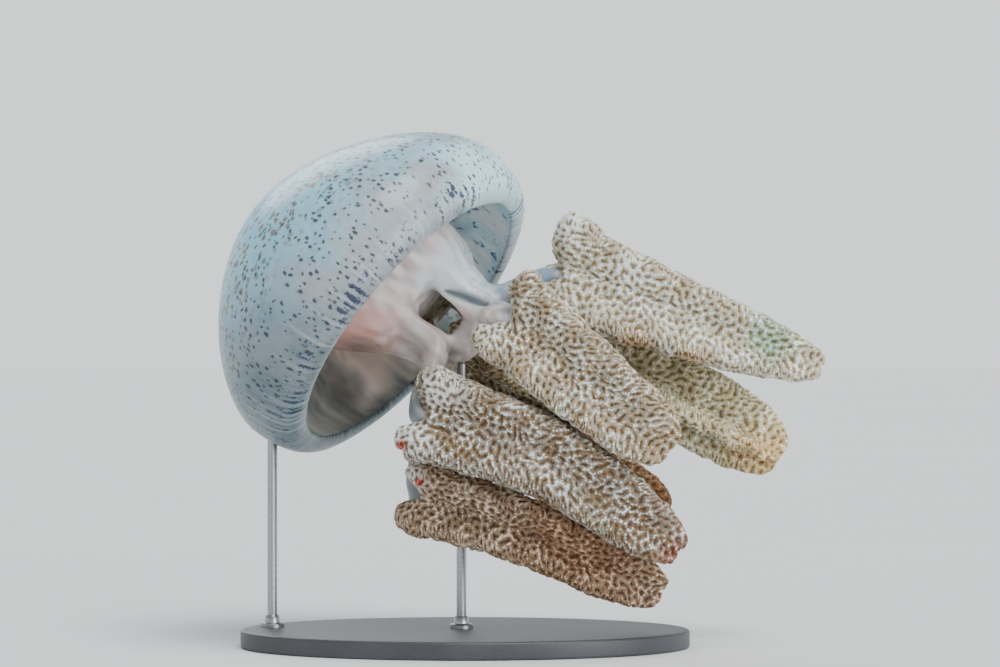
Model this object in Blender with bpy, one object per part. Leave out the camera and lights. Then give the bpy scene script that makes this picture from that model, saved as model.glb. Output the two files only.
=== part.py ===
"""A blue blubber jellyfish at life size, swimming, held over a plain oval base by two steel rods.

The bell and the mouth stalk are built in the bell's own frame, whose Z axis runs up through the crown
and whose origin is the centre of the bell's rim. The eight arms are lofted along their own centre lines
in the world. The origin of the world is the centre of the base's underside, +Z up, and the animal swims
up and to the left, towards -X. Lengths are in metres.
"""

import math

import bmesh
import bpy
import numpy as np
from mathutils import Matrix, Vector

MM = 0.001
GAP = 0.3 * MM  # left between pieces that touch

# The bell
BELL_CENTRE = Vector((-30.0, 0.0, 166.0)) * MM  # middle of the rim
BELL_UP = Vector((-0.733, 0.284, 0.619)).normalized()  # from the rim to the crown
BELL_SIDE = Vector((0.645, 0.0, 0.764)).normalized()  # across the rim, up and to the right
BELL_RADIUS = 92.8 * MM
WIDEST_AT = 21.7 * MM  # height of the widest ring above the rim
CROWN_RISE = 75.4 * MM  # from the widest ring to the top of the crown
CROWN_FULLNESS = 1.59  # 2 is an ellipse, less is a more pointed crown
CROWN_LEAN = 4.5 * MM  # how far the crown leans towards the lower side
CROWN_START = 0.14  # angle of the first ring below the crown's top, in radians
RIM_RADIUS = 81.0 * MM
RIM_DROP = 4.6 * MM  # how far the turned-in margin hangs below the rim's middle
CROWN_THICKNESS = 21.0 * MM
SIDE_THICKNESS = 6.5 * MM
SHOULDER_AT = 14.0 * MM  # a ring between the widest one and the bell's lower edge
SHOULDER_THICKNESS = 5.0 * MM
EDGE_THICKNESS = 3.4 * MM
MARGIN_TOP = 6.0 * MM  # where the bell ends and the ring of flaps begins
FLAP_THICKNESS = 2.6 * MM
FLAP_TIP_RISE = 1.0 * MM  # the flaps' tips stand this far above the margin's lowest ring
FLAP_REACH = 7.0 * MM  # how far the flaps turn in from the rim
FLAP_NOTCH = 2.4 * MM
FLAPS = 56
BELL_SEGMENTS = 40

# The mouth stalk: the stomach inside the bell, four pillars and the disc that carries the arms
STALK_SHIFT = 13.0 * MM  # the stalk bends this far towards the upper side of the bell
STOMACH_RADIUS = 50.0 * MM
STOMACH_NECK = 33.0 * MM
STOMACH_FLOOR = -4.0 * MM
STOMACH_DROP = 3.0 * MM  # below the bell's roof
STOMACH_CORNERS = 0.07  # how far its four corners stand out at the neck
STOMACH_NARROWING = 2.2  # 1 narrows evenly, more keeps it wide for longer
PILLAR_RING = 24.5 * MM
PILLAR_WIDTH = 26.0 * MM
PILLAR_DEPTH = 12.0 * MM
PILLAR_LEAN = 6.0 * MM  # their lower ends stand this much closer together
PILLAR_WAIST = 0.13
PILLAR_TAPER = 0.22
DISC_TOP = -26.0 * MM
DISC_THICKNESS = 13.0 * MM
DISC_RADIUS = 25.0 * MM
DISC_BEVEL = 3.5 * MM
DISC_FACE = 0.72  # radius of the disc's flat faces, as a part of its own

# The arms: each is a stem that carries three plump frilled wings
STEM_RADIUS = 7.0 * MM  # between the disc and the wings
CORE_RADIUS = 5.2 * MM  # where the wings begin
CORE_TIP_RADIUS = 3.2 * MM
STEM_GAP = 0.45 * MM  # between a stem and its wings
WING_THICKNESS = 14.0 * MM
STEM_ENTRY = 9.0 * MM  # how far inside its wings' root a stem passes on its way in
LOBE_OVERLAP = 9.0 * MM  # how far a wing's first lobe reaches back past its root
LOBE_LENGTH = 0.11  # of the arm's length
WING_SQUARENESS = 0.77  # of a wing's section: 1 is an ellipse, less is squarer
ROOT_ROUNDING = 0.07  # of the wing's length
TIP_ROUNDING = 0.28
ROOT_SIZE = 0.40  # of the wing's full section, at its root
TIP_SIZE = 0.25
WING_SIDES = 10
STEM_SIDES = 8

# The stand
BASE_LENGTH = 226.0 * MM
BASE_WIDTH = 132.0 * MM
BASE_HEIGHT = 9.0 * MM
BASE_BEVEL = 1.5 * MM
ROD_DIAMETER = 5.0 * MM
SOCKET_DEPTH = 30.0 * MM
BELL_ROD_FOOT = Vector((-98.0, 12.0, 0.0)) * MM
BELL_ROD_TOP = 106.3 * MM  # inside the lower wall of the bell
STALK_ROD_FOOT = Vector((-2.0, 6.0, 0.0)) * MM
STALK_ROD_TOP = 143.0 * MM  # inside the disc

# Each arm, in their order round the disc: where its wings begin, its middle and its tip in millimetres,
# and its three wings. A wing has the angle it points at around the stem (0 is towards the front, 90 is
# up), its width in millimetres, the part of that width that it loses on the way to the tip, and how far
# its first lobe stands out, as a part of the width.
ARMS = {
    "top_front": {
        "line": ((46, -34, 187), (112, -40, 163), (176, -34, 141)),
        "wings": ((80, 22.5, 0.66, 0.40), (-66, 21, 0.55, 0.0), (205, 18, 0.45, 0.0)),
    },
    "upper_front": {
        "line": ((22, -58, 165), (60, -72, 133), (99, -70, 101)),
        "wings": ((62, 21, 0.25, 0.20), (-82, 18, 0.25, 0.10), (190, 18, 0.35, 0.0)),
    },
    "lower_front": {
        "line": ((-20, -54, 119), (42, -64, 96), (105, -58, 52)),
        "wings": ((76, 19, 0.36, 0.10), (-74, 18, 0.30, 0.10), (165, 17, 0.35, 0.0)),
    },
    "bottom_front": {
        "line": ((-22, -25, 79), (34, -34, 61), (98, -34, 31)),
        "wings": ((42, 17, 0.10, 0.10), (-66, 16, 0.10, 0.10), (150, 15, 0.30, 0.0)),
    },
    "bottom_back": {
        "line": ((-5, 34, 111), (48, 40, 92), (103, 32, 65)),
        "wings": ((-40, 15, 0.20, 0.10), (-150, 16, 0.25, 0.10), (78, 16, 0.15, 0.0)),
    },
    "lower_back": {
        "line": ((-4, 42, 150), (50, 48, 122), (95, 42, 98)),
        "wings": ((235, 17, 0.25, 0.10), (142, 16, 0.25, 0.10), (0, 16, 0.30, 0.0)),
    },
    "upper_back": {
        "line": ((29, 38, 166), (103, 34, 125), (161, 26, 94)),
        "wings": ((98, 21, 0.08, 0.10), (-94, 16, 0.10, 0.10), (-12, 17, 0.30, 0.0)),
    },
    "top_back": {
        "line": ((48, 16, 186), (108, 16, 163), (162, 10, 144)),
        "wings": ((83, 18, 0.35, 0.15), (168, 16, 0.30, 0.10), (-60, 15, 0.30, 0.0)),
    },
}

# Stations along an arm's winged length, closer together where its ends are rounded off
STATIONS = (0.0, 0.03, 0.10, 0.28, 0.50, 0.74, 0.87, 0.96, 1.0)

COLOURS = {
    "jelly": ((0.60, 0.74, 0.80, 1.0), 0.25),
    "stalk": ((0.72, 0.66, 0.66, 1.0), 0.3),
    "frill": ((0.62, 0.52, 0.42, 1.0), 0.5),
    "steel": ((0.55, 0.56, 0.57, 1.0), 0.3),
    "base": ((0.05, 0.05, 0.055, 1.0), 0.45),
}


def clear_scene():
    for old in list(bpy.data.objects):
        bpy.data.objects.remove(old, do_unlink=True)


def material(name):
    """The named material, made the first time it is asked for."""
    made = bpy.data.materials.get(name)
    if made is None:
        made = bpy.data.materials.new(name)
        made.use_nodes = True
        colour, roughness = COLOURS[name]
        shader = made.node_tree.nodes["Principled BSDF"]
        shader.inputs["Base Color"].default_value = colour
        shader.inputs["Roughness"].default_value = roughness
        shader.inputs["Metallic"].default_value = 1.0 if name == "steel" else 0.0
    return made


def bell_matrix():
    """The bell's frame: X across the rim, Z up through the crown."""
    z_axis = BELL_UP
    x_axis = (BELL_SIDE - BELL_SIDE.dot(z_axis) * z_axis).normalized()
    y_axis = z_axis.cross(x_axis)
    turn = Matrix((x_axis, y_axis, z_axis)).transposed()
    return Matrix.Translation(BELL_CENTRE) @ turn.to_4x4()


def add_object(name, mesh, material_name, place=None):
    mesh.materials.append(material(material_name))
    made = bpy.data.objects.new(name, mesh)
    bpy.context.scene.collection.objects.link(made)
    if place is not None:
        made.matrix_world = place
    return made


def loft(name, rings, closed_round=False):
    """A mesh through rings of points. The ends are closed by a point in the middle of each end ring, or,
    where closed_round is set, the last ring is joined to the first to make a ring-shaped body."""
    model = bmesh.new()
    loops = [[model.verts.new(point) for point in ring] for ring in rings]
    following = loops[1:] + loops[:1] if closed_round else loops[1:]
    for near, far in zip(loops, following):
        for index in range(len(near)):
            after = (index + 1) % len(near)
            model.faces.new((near[index], near[after], far[after], far[index]))
    if not closed_round:
        for loop, flip in ((loops[0], True), (loops[-1], False)):
            middle = sum((vert.co for vert in loop), Vector()) / len(loop)
            pole = model.verts.new(middle)
            for index in range(len(loop)):
                after = (index + 1) % len(loop)
                corners = (loop[after], loop[index], pole)
                model.faces.new(corners if flip else corners[::-1])
    bmesh.ops.recalc_face_normals(model, faces=model.faces)
    mesh = bpy.data.meshes.new(name)
    model.to_mesh(mesh)
    model.free()
    mesh.shade_smooth()
    mesh.set_sharp_from_angle(angle=math.radians(50))
    return mesh


def circle(radius, height, segments, shift=0.0):
    """A ring of points round the Z axis, its middle moved along X."""
    turns = np.arange(segments) * 2 * math.pi / segments
    return [Vector((shift + radius * math.cos(a), radius * math.sin(a), height)) for a in turns]


def lean(height):
    """How far the bell's own middle line is shifted along X at this height."""
    return -CROWN_LEAN * (height / (WIDEST_AT + CROWN_RISE)) ** 2


def crown_curve(radius, rise, count):
    """(radius, height) from near the top of a crown down to its widest ring."""
    power = 2 / CROWN_FULLNESS
    angles = np.linspace(CROWN_START, math.pi / 2, count)
    return [(radius * math.sin(a) ** power, WIDEST_AT + rise * math.cos(a) ** power) for a in angles]


def turn_in(height):
    """The outer radius of the bell where it turns in below its widest ring."""
    fall = (WIDEST_AT - height) / (WIDEST_AT + RIM_DROP)
    return RIM_RADIUS + (BELL_RADIUS - RIM_RADIUS) * math.sqrt(max(0.0, 1 - fall**2))


def inner_radius():
    return BELL_RADIUS - SIDE_THICKNESS


def roof_height(radius):
    """Height of the bell's inner surface at this distance from its middle line."""
    power = 2 / CROWN_FULLNESS
    sine = min(1.0, radius / inner_radius()) ** (1 / power)
    return WIDEST_AT + (CROWN_RISE - CROWN_THICKNESS) * math.sqrt(1 - sine**2) ** power


def build_bell():
    outer = crown_curve(BELL_RADIUS, CROWN_RISE, 10)
    edge = MARGIN_TOP + 2 * GAP
    outer += [(turn_in(h), h) for h in (SHOULDER_AT, edge)]
    inner = [(turn_in(MARGIN_TOP) - EDGE_THICKNESS, edge)]
    inner.append((turn_in(SHOULDER_AT) - SHOULDER_THICKNESS, SHOULDER_AT))
    inner += crown_curve(inner_radius(), CROWN_RISE - CROWN_THICKNESS, 6)[::-1]
    rings = [circle(r, h, BELL_SEGMENTS, lean(h)) for r, h in outer + inner]
    bell = add_object("bell", loft("bell", rings), "jelly", bell_matrix())
    cutter = socket_cutter("bell_rod_socket", BELL_ROD_FOOT, BELL_ROD_TOP)
    hollow = bell.modifiers.new("rod socket", "BOOLEAN")
    hollow.operation = "DIFFERENCE"
    hollow.object = cutter
    return bell


def build_margin():
    """The ring of flaps: thin, turned in, and notched between one flap and the next."""
    segments = 2 * FLAPS
    top = MARGIN_TOP
    tip_radius = RIM_RADIUS - FLAP_REACH
    outer = [(turn_in(top), top), (turn_in(0.0), 0.0), (RIM_RADIUS, -RIM_DROP)]
    tip = (tip_radius, -RIM_DROP + FLAP_TIP_RISE)
    inner = [
        (RIM_RADIUS - 2 * GAP, -RIM_DROP + FLAP_THICKNESS),
        (turn_in(top) - FLAP_THICKNESS, top),
    ]
    rings = []
    for radius, height in outer + [tip] + inner:
        ring = circle(radius, height, segments, lean(height))
        if (radius, height) == tip:
            for index in range(0, segments, 2):
                outward = Vector((ring[index].x, ring[index].y, 0)).normalized()
                ring[index] += outward * FLAP_NOTCH
        rings.append(ring)
    add_object("bell_margin", loft("bell_margin", rings, closed_round=True), "jelly", bell_matrix())


def stalk_shift(height):
    """How far the stalk's middle line stands off the bell's axis at this height."""
    top = WIDEST_AT + 25 * MM
    down = min(1.0, max(0.0, (top - height) / (top - STOMACH_FLOOR)))
    return STALK_SHIFT * down * down * (3 - 2 * down)


def build_stomach():
    """The smooth, four-cornered body that hangs from the bell's roof and narrows to the neck."""
    segments = 20
    rings = []
    for part in (0.25, 0.6, 0.86, 1.0):
        ring = []
        for index in range(segments):
            angle = 2 * math.pi * index / segments
            radius = STOMACH_RADIUS * part
            point = Vector((radius * math.cos(angle), radius * math.sin(angle), 0))
            offset = math.hypot(point.x - lean(60 * MM), point.y)
            point.z = roof_height(offset) - STOMACH_DROP
            ring.append(point)
        rings.append(ring)
    edge_height = roof_height(STOMACH_RADIUS) - STOMACH_DROP
    for down in (0.25, 0.55, 0.82, 1.0):
        height = edge_height + (STOMACH_FLOOR - edge_height) * down
        radius = STOMACH_RADIUS + (STOMACH_NECK - STOMACH_RADIUS) * down**STOMACH_NARROWING
        ring = circle(radius, height, segments, stalk_shift(height))
        corner = STOMACH_CORNERS * down
        middle = Vector((stalk_shift(height), 0, 0))
        for index, point in enumerate(ring):
            angle = 2 * math.pi * index / segments
            swell = 1 - corner * math.cos(4 * angle)
            point.xy = (middle + (point - middle) * swell).xy
        rings.append(ring)
    add_object("stomach", loft("stomach", rings), "stalk", bell_matrix())


def build_pillars():
    """Four pillars from the stomach's corners to the disc, with an open window between each two."""
    sides = 12
    span = STOMACH_FLOOR - DISC_TOP - 2 * GAP
    for number in range(4):
        turn = math.radians(45 + 90 * number)
        outward = Vector((math.cos(turn), math.sin(turn), 0))
        across = Vector((-math.sin(turn), math.cos(turn), 0))
        rings = []
        for down in (0.0, 0.2, 0.5, 0.8, 1.0):
            height = STOMACH_FLOOR - GAP - span * down
            waist = 1 - PILLAR_WAIST * math.sin(math.pi * down) - PILLAR_TAPER * down
            distance = PILLAR_RING - PILLAR_LEAN * down
            middle = outward * distance + Vector((STALK_SHIFT, 0, height))
            ring = []
            for index in range(sides):
                angle = 2 * math.pi * index / sides
                ring.append(
                    middle
                    + across * (PILLAR_WIDTH / 2 * waist * math.cos(angle))
                    + outward * (PILLAR_DEPTH / 2 * waist * math.sin(angle))
                )
            rings.append(ring)
        name = f"pillar_{number + 1}"
        add_object(name, loft(name, rings), "stalk", bell_matrix())


def disc_middle():
    return Vector((STALK_SHIFT, 0, DISC_TOP - DISC_THICKNESS / 2))


def build_arm_disc():
    """A thick plate with a flat for each arm's stem round its edge."""
    segments = 16
    half = DISC_THICKNESS / 2
    side = half - DISC_BEVEL
    profile = ((DISC_FACE, half), (1.0, side), (1.0, -side), (DISC_FACE, -half))
    rings = []
    for part, height in profile:
        ring = circle(DISC_RADIUS * part, height, segments)
        turned = Matrix.Rotation(math.pi / segments, 3, "Z")
        rings.append([turned @ point + disc_middle() for point in ring])
    disc = add_object("arm_disc", loft("arm_disc", rings), "stalk", bell_matrix())
    cutter = socket_cutter("stalk_rod_socket", STALK_ROD_FOOT, STALK_ROD_TOP)
    hollow = disc.modifiers.new("rod socket", "BOOLEAN")
    hollow.operation = "DIFFERENCE"
    hollow.object = cutter


def curve_point(points, place):
    """A point on the smooth curve through these points, at 0 to 1 of its parameter."""
    ends = [2 * points[0] - points[1], *points, 2 * points[-1] - points[-2]]
    spans = len(points) - 1
    span = min(int(place * spans), spans - 1)
    local = place * spans - span
    a, b, c, d = ends[span : span + 4]
    return 0.5 * (
        2 * b
        + (c - a) * local
        + (2 * a - 5 * b + 4 * c - d) * local**2
        + (3 * b - a - 3 * c + d) * local**3
    )


def arm_frame(points, place):
    """(middle, along, front, up) of an arm's cross-section at this place on its line."""
    step = 0.01
    along = curve_point(points, min(1.0, place + step)) - curve_point(points, max(0.0, place - step))
    along.normalize()
    front = Vector((0, -1, 0))
    front = (front - front.dot(along) * along).normalized()
    return curve_point(points, place), along, front, front.cross(along)


def stem_radius(place):
    return CORE_RADIUS + (CORE_TIP_RADIUS - CORE_RADIUS) * place


def rounded_end(distance, length, size):
    """1 further than this length from an end, falling smoothly to this size at the end itself."""
    near = min(1.0, distance / length)
    return size + (1 - size) * math.sqrt(1 - (1 - near) ** 2)


def disc_flat(number):
    """Where the stem of this arm meets the disc: the middle of its flat, and the way that the flat faces."""
    place = bell_matrix()
    turn = -math.pi / 4 * (number + 0.5)
    outward = Vector((math.cos(turn), math.sin(turn), 0))
    start = disc_middle() + outward * (DISC_RADIUS * math.cos(math.pi / 16) + GAP)
    return place @ start, place.to_3x3() @ outward


def build_stem(name, number, line, inner_angle):
    """The arm's smooth stem, from its flat of the disc to just short of the arm's tip. It comes up to its
    wings from the side of the inner one, which starts further along."""
    start, outward = disc_flat(number)
    middle, along, front, above = arm_frame(line, 0.0)
    turn = math.radians(inner_angle)
    inward = math.cos(turn) * front + math.sin(turn) * above
    entry = middle + inward * STEM_ENTRY - along * 0.2 * STEM_ENTRY
    bend = [start, start + outward * 1.5 * STEM_RADIUS, entry, middle + along * 4 * MM]
    up = bell_matrix().to_3x3() @ Vector((0, 0, 1))
    side = outward.cross(up).normalized()
    rings = []
    for place in (0.0, 0.33, 0.5, 0.66, 0.8):
        centre = curve_point(bend, place)
        heading = curve_point(bend, place + 0.01) - curve_point(bend, max(0.0, place - 0.01))
        heading = outward if place == 0.0 else heading.normalized()
        first = (side - side.dot(heading) * heading).normalized()
        second = first.cross(heading)
        rings.append(stem_ring(centre, first, second, STEM_RADIUS * (1 - 0.2 * place)))
    for place in STATIONS[1:-1]:
        centre, _, front, above = arm_frame(line, place)
        rings.append(matched(stem_ring(centre, front, above, stem_radius(place)), rings[-1]))
    add_object(name, loft(name, rings), "stalk")


def stem_ring(centre, first, second, radius):
    turns = [2 * math.pi * k / STEM_SIDES for k in range(STEM_SIDES)]
    return [centre + radius * (math.cos(a) * first + math.sin(a) * second) for a in turns]


def matched(ring, before):
    """The ring with its points renumbered so that they lie nearest to those of the ring before."""
    choices = []
    for order in (ring, ring[::-1]):
        for shift in range(len(ring)):
            turned = order[shift:] + order[:shift]
            choices.append((sum((p - q).length for p, q in zip(turned, before)), shift, turned))
    return min(choices, key=lambda choice: choice[0])[2]


def build_wing(name, line, angle, width, taper, lobe, overlap):
    """One plump frilled wing, rooted along the stem and rounded at its edge and at both ends. Its first
    lobe reaches back past its root by the overlap. A wing with no overlap starts further along."""
    turn = math.radians(angle)
    furthest = math.cos(math.pi / WING_SIDES) ** WING_SQUARENESS
    rings = []
    first = 0 if overlap else 2
    for place in STATIONS[first:]:
        middle, along, front, above = arm_frame(line, place)
        outward = math.cos(turn) * front + math.sin(turn) * above
        across = along.cross(outward)
        inner = stem_radius(place) + STEM_GAP
        part = (place - STATIONS[first]) / (1 - STATIONS[first])
        size = rounded_end(part, ROOT_ROUNDING, ROOT_SIZE) * rounded_end(1 - part, TIP_ROUNDING, TIP_SIZE)
        rise = 1 + lobe * math.exp(-((place / LOBE_LENGTH) ** 2))
        half_width = width * MM * (1 - taper * place) * rise * size / 2
        half_depth = WING_THICKNESS / 2 * (1 - 0.25 * place) * size
        overhang = overlap * max(0.0, 1 - place / 0.25)
        ring = []
        for k in range(WING_SIDES):
            around = 2 * math.pi * (k + 0.5) / WING_SIDES
            reach = math.copysign(abs(math.cos(around)) ** WING_SQUARENESS, math.cos(around))
            depth = math.copysign(abs(math.sin(around)) ** WING_SQUARENESS, math.sin(around))
            out = half_width * (1 + reach / furthest)
            back = overhang * (out / (2 * half_width)) ** 2
            ring.append(middle + outward * (inner + out) + across * half_depth * depth - along * back)
        rings.append(ring)
    add_object(name, loft(name, rings), "frill")


def build_arms():
    for number, (arm, shape) in enumerate(ARMS.items()):
        line = [Vector(point) * MM for point in shape["line"]]
        build_stem(f"arm_{arm}_stem", number, line, shape["wings"][2][0])
        for wing, sizes in enumerate(shape["wings"], start=1):
            overlap = LOBE_OVERLAP if wing < 3 else 0.0
            build_wing(f"arm_{arm}_wing_{wing}", line, *sizes, overlap)


def upright(name, foot, bottom, top, radius, segments=16):
    rings = []
    for height in (bottom, top):
        ring = circle(radius, height, segments)
        rings.append([point + Vector((foot.x, foot.y, 0)) for point in ring])
    return loft(name, rings)


def socket_cutter(name, foot, top):
    """A round cutter for a rod's socket, a little wider and deeper than the rod."""
    mesh = upright(name, foot, top - SOCKET_DEPTH, top + GAP, ROD_DIAMETER / 2 + GAP)
    cutter = add_object(name, mesh, "steel")
    cutter.hide_render = True
    cutter.display_type = "WIRE"
    return cutter


def build_stand():
    segments = 44
    rings = []
    edge = (
        (0.0, BASE_BEVEL),
        (BASE_BEVEL, 0.0),
        (BASE_HEIGHT - BASE_BEVEL, 0.0),
        (BASE_HEIGHT, BASE_BEVEL),
    )
    for height, inset in edge:
        ring = []
        for index in range(segments):
            angle = 2 * math.pi * index / segments
            ring.append(
                Vector(
                    (
                        (BASE_LENGTH / 2 - inset) * math.cos(angle),
                        (BASE_WIDTH / 2 - inset) * math.sin(angle),
                        height,
                    )
                )
            )
        rings.append(ring)
    add_object("stand_base", loft("stand_base", rings), "base")
    for name, foot, top in (
        ("stand_rod_bell", BELL_ROD_FOOT, BELL_ROD_TOP),
        ("stand_rod_stalk", STALK_ROD_FOOT, STALK_ROD_TOP),
    ):
        mesh = upright(name, foot, BASE_HEIGHT + GAP, top, ROD_DIAMETER / 2)
        add_object(name, mesh, "steel")


def main():
    clear_scene()
    build_bell()
    build_margin()
    build_stomach()
    build_pillars()
    build_arm_disc()
    build_arms()
    build_stand()


main()
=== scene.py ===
"""Looks of the blue blubber jellyfish on its stand: one jelly skin over the bell, the stalk and the
stems, eight frilled arms whose folds are real relief, and a smooth stand. All sizes are in metres, in
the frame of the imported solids, and the animal's shapes follow the same named sizes as the solids."""

import math
from types import SimpleNamespace

import bpy
import numpy as np
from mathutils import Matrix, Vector


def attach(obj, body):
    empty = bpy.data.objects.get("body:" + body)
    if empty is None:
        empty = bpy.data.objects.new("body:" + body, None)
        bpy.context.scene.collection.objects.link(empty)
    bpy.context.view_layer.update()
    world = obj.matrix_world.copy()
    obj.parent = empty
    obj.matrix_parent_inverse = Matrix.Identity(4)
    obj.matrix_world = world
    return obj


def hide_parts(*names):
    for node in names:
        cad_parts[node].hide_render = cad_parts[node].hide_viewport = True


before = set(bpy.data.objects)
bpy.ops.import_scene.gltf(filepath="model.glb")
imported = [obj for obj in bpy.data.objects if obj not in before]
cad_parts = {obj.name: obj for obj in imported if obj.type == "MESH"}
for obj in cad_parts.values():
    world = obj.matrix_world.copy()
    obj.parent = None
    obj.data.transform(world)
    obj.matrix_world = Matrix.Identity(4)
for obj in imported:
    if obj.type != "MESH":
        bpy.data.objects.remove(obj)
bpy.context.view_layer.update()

MM = 0.001
WAVE_COUNT = 14  # in each smooth noise

# The bell, as in the solids
BELL_CENTRE = np.array((-30.0, 0.0, 166.0)) * MM
BELL_UP = np.array((-0.733, 0.284, 0.619))
BELL_SIDE = np.array((0.645, 0.0, 0.764))
BELL_RADIUS = 92.8 * MM
WIDEST_AT = 21.7 * MM
CROWN_RISE = 75.4 * MM
CROWN_POWER = 2 / 1.59
CROWN_LEAN = 4.5 * MM
RIM_RADIUS = 81.0 * MM
RIM_DROP = 4.6 * MM
CROWN_THICKNESS = 21.0 * MM
SIDE_THICKNESS = 6.5 * MM
LAPPETS = 128
WALL_ROWS = 22
# The margin's section below the wall, round the lip and up the inside, in millimetres
LIP_RADII = (82.6, 80.6, 78.0, 75.6, 74.2, 74.6, 76.8, 79.6, 82.0, 84.0, 85.2, 85.9, 86.3)
LIP_HEIGHTS = (-3.9, -4.55, -4.6, -4.2, -3.4, -2.5, -2.1, -1.6, 0.2, 3.0, 7.0, 12.0, 17.0)
FURROW_WIDTH = 0.16  # of a lappet
LOWER_SIDE = math.radians(212)  # the turn at which the bell's edge is drawn in

# The stalk, as in the solids
STALK_SHIFT = 13.0 * MM
STOMACH_RADIUS = 50.0 * MM
STOMACH_NECK = 33.0 * MM
STOMACH_FLOOR = -4.0 * MM
PILLAR_RING = 24.5 * MM
PILLAR_WIDTH = 26.0 * MM
PILLAR_DEPTH = 12.0 * MM
PILLAR_IN = 6.0 * MM
DISC_TOP = -26.0 * MM
DISC_THICKNESS = 13.0 * MM
DISC_RADIUS = 25.0 * MM
DISC_MIDDLE = np.array((STALK_SHIFT, 0, DISC_TOP - DISC_THICKNESS / 2))

# The arms, as in the solids
CORE_RADIUS = 5.2 * MM
CORE_TIP_RADIUS = 3.2 * MM
WING_THICKNESS = 14.0 * MM
STEM_ENTRY = 9.0 * MM
LOBE_OVERLAP = 9.0 * MM
LOBE_LENGTH = 0.11
WING_SQUARENESS = 0.77
ROOT_ROUNDING = 0.07
TIP_ROUNDING = 0.28
# The turns, in degrees, at which each arm's flesh leaves the stomach and passes over the disc's edge
BAND_PILLARS = (-34, -50, -132, -160, -222, -232, -308, -318)
BAND_EDGES = (-20, -50, -132, -172, -202, -247, -292, -338)
BAND_STATIONS = (0, 0.17, 0.33, 0.5, 0.66, 1)
BAND_WIDTHS = np.array((10.5, 9.6, 8.8, 8.0, 6.8, 3.6)) * MM
BAND_DEPTHS = np.array((7.5, 6.6, 6.2, 6.0, 5.4, 3.2)) * MM
# x and z, in millimetres: the ends of the slit in the first two arms' flesh, and the gap between the
# front pillars
SLIT = ((-10, 178.5), (12, 173.0))
WINDOW = (-12, 159)
# Each arm's middle line, in millimetres
LINES = {
    "top_front": ((46, -34, 187), (112, -40, 163), (176, -34, 141)),
    "upper_front": ((22, -58, 165), (60, -72, 133), (99, -70, 101)),
    "lower_front": ((-20, -54, 119), (42, -64, 96), (105, -58, 52)),
    "bottom_front": ((-22, -25, 79), (34, -34, 61), (98, -34, 31)),
    "bottom_back": ((-5, 34, 111), (48, 40, 92), (103, 32, 65)),
    "lower_back": ((-4, 42, 150), (50, 48, 122), (95, 42, 98)),
    "upper_back": ((29, 38, 166), (103, 34, 125), (161, 26, 94)),
    "top_back": ((48, 16, 186), (108, 16, 163), (162, 10, 144)),
}
# Each arm's wings as (turn in degrees, width, taper, extra size at the root)
WINGS = {
    "top_front": ((80, 22.5, 0.66, 0.40), (-66, 21, 0.55, 0.0), (205, 18, 0.45, 0.0)),
    "upper_front": ((62, 21, 0.25, 0.20), (-82, 18, 0.25, 0.10), (190, 18, 0.35, 0.0)),
    "lower_front": ((76, 19, 0.36, 0.10), (-74, 18, 0.30, 0.10), (165, 17, 0.35, 0.0)),
    "bottom_front": ((42, 17, 0.10, 0.10), (-66, 16, 0.10, 0.10), (150, 15, 0.30, 0.0)),
    "bottom_back": ((-40, 15, 0.20, 0.10), (-150, 16, 0.25, 0.10), (78, 16, 0.15, 0.0)),
    "lower_back": ((235, 17, 0.25, 0.10), (142, 16, 0.25, 0.10), (0, 16, 0.30, 0.0)),
    "upper_back": ((98, 21, 0.08, 0.10), (-94, 16, 0.10, 0.10), (-12, 17, 0.30, 0.0)),
    "top_back": ((83, 18, 0.35, 0.15), (168, 16, 0.30, 0.10), (-60, 15, 0.30, 0.0)),
}

# The frills' relief
FRILL_VOXEL = 0.52 * MM
FOLD_SPACING = 4.3 * MM
BEAD_SPACING = 1.7 * MM
FOLD_DEPTH = 1.0 * MM
FOLD_RISE = 0.5 * MM
SPREAD_RATE = 0.045 * MM**2
CORE_FILLING = 2.8 * MM
CLEFT_WIDTH = 1.5 * MM
WING_SWAY = 0.9 * MM

# The skin's voxels, ripples and stretched folds
JELLY_VOXEL = 1.4 * MM
RIPPLES = (13, 19, 29)
RIPPLE_HEIGHT = 1.6 * MM
FOLD_HEIGHT = 0.30 * MM
SLIT_DEPTH = 3.0 * MM
ALONG_BELL = (1.0, 1.0, 0.12)  # draws a pattern out along the bell's axis

# The stand
BASE_LENGTH = 226.0 * MM
BASE_WIDTH = 132.0 * MM
BASE_HEIGHT = 9.0 * MM
BEVEL = 1.5 * MM
ROD_DIAMETER = 5.0 * MM
# The collar at a rod's foot, turned: radius and height over the base, in millimetres
COLLAR = ((0.3, -1), (6.0, -1), (6.0, 1.6), (5.6, 2.1), (3.9, 2.4), (3.6, 5.4), (3.2, 6.0))
# Each rod's place on the base and the height of its top
RODS = {
    "stand_rod_bell": ((-98.0 * MM, 12.0 * MM), 106.3 * MM),
    "stand_rod_stalk": ((-2.0 * MM, 6.0 * MM), 143.0 * MM),
}

# The studio: each lamp's strength, colour and place, all of them turned towards one point
LAMPS = {
    "key": (2.55, (1.0, 0.99, 0.97), (0.45, -0.75, 1.7)),
    "fill": (1.9, (0.96, 0.98, 1.0), (1.0, -1.0, 0.35)),
    "rear": (1.0, (0.93, 0.97, 1.0), (-0.4, 1.1, 0.9)),
}
LIT_POINT = (0.02, 0.0, 0.14)
CAMERA_PLACE = (0.0175, -1.51, 0.15775)
FLOOR_REACH = 12.0


# ---- small helpers


def unit(v):
    return v / np.linalg.norm(v, axis=-1, keepdims=True)


def step(x, low, high):
    """0 below low, 1 above high and smooth between them."""
    t = np.clip((x - low) / (high - low), 0, 1)
    return t * t * (3 - 2 * t)


def hill(x, width):
    """1 at 0, and next to nothing two widths away."""
    return np.exp(-((x / width) ** 2))


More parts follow.
